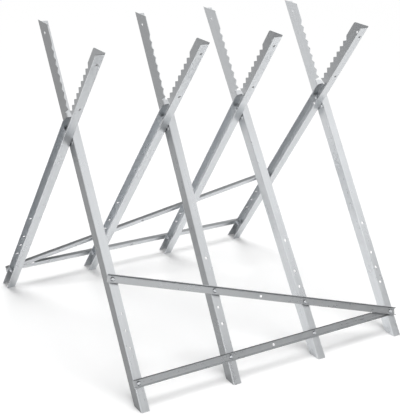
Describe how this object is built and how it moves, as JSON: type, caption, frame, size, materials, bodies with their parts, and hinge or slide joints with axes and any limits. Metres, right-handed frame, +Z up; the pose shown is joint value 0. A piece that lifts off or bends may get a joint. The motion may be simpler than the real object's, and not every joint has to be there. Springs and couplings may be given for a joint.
{
  "type": "log saw stand",
  "caption": "Folding log saw stand: crossed channel legs of galvanised sheet steel with toothed upper arms that grip a log, tied by bolted lower and diagonal braces.",
  "frame": {"origin": "on the floor under the middle of the stand", "axes": "+X along the log and the line of pivot bolts, +Y from the front feet to the rear feet, +Z up"},
  "size_m": [0.7912, 0.7516, 0.7661],
  "materials": {
    "galvanised_sheet": "satin",
    "zinc_plated_steel": "gloss"
  },
  "bodies": {
    "rear_frame": {"rear_leg_1": "galvanised_sheet", "rear_leg_2": "galvanised_sheet", "rear_leg_3": "galvanised_sheet", "rear_leg_4": "galvanised_sheet", "rear_lower_brace": "galvanised_sheet", "rear_diagonal_brace": "galvanised_sheet", "rear_brace_bolts": "zinc_plated_steel", "rear_brace_nuts": "zinc_plated_steel", "rear_brace_washers": "zinc_plated_steel", "pivot_bolt_1": "zinc_plated_steel", "pivot_bolt_2": "zinc_plated_steel", "pivot_bolt_3": "zinc_plated_steel", "pivot_bolt_4": "zinc_plated_steel", "pivot_nut_1": "zinc_plated_steel", "pivot_nut_2": "zinc_plated_steel", "pivot_nut_3": "zinc_plated_steel", "pivot_nut_4": "zinc_plated_steel", "pivot_head_washers": "zinc_plated_steel", "pivot_nut_washers": "zinc_plated_steel"},
    "front_frame": {"front_leg_1": "galvanised_sheet", "front_leg_2": "galvanised_sheet", "front_leg_3": "galvanised_sheet", "front_leg_4": "galvanised_sheet", "front_lower_brace": "galvanised_sheet", "front_diagonal_brace": "galvanised_sheet", "front_brace_bolts": "zinc_plated_steel", "front_brace_nuts": "zinc_plated_steel", "front_brace_washers": "zinc_plated_steel"}
  },
  "joints": [
    {"name": "fold", "type": "hinge", "parent": "rear_frame", "child": "front_frame", "pos_m": [0, 0, 0.541], "axis": [1, 0, 0], "range_deg": [0, 65.5]}
  ]
}
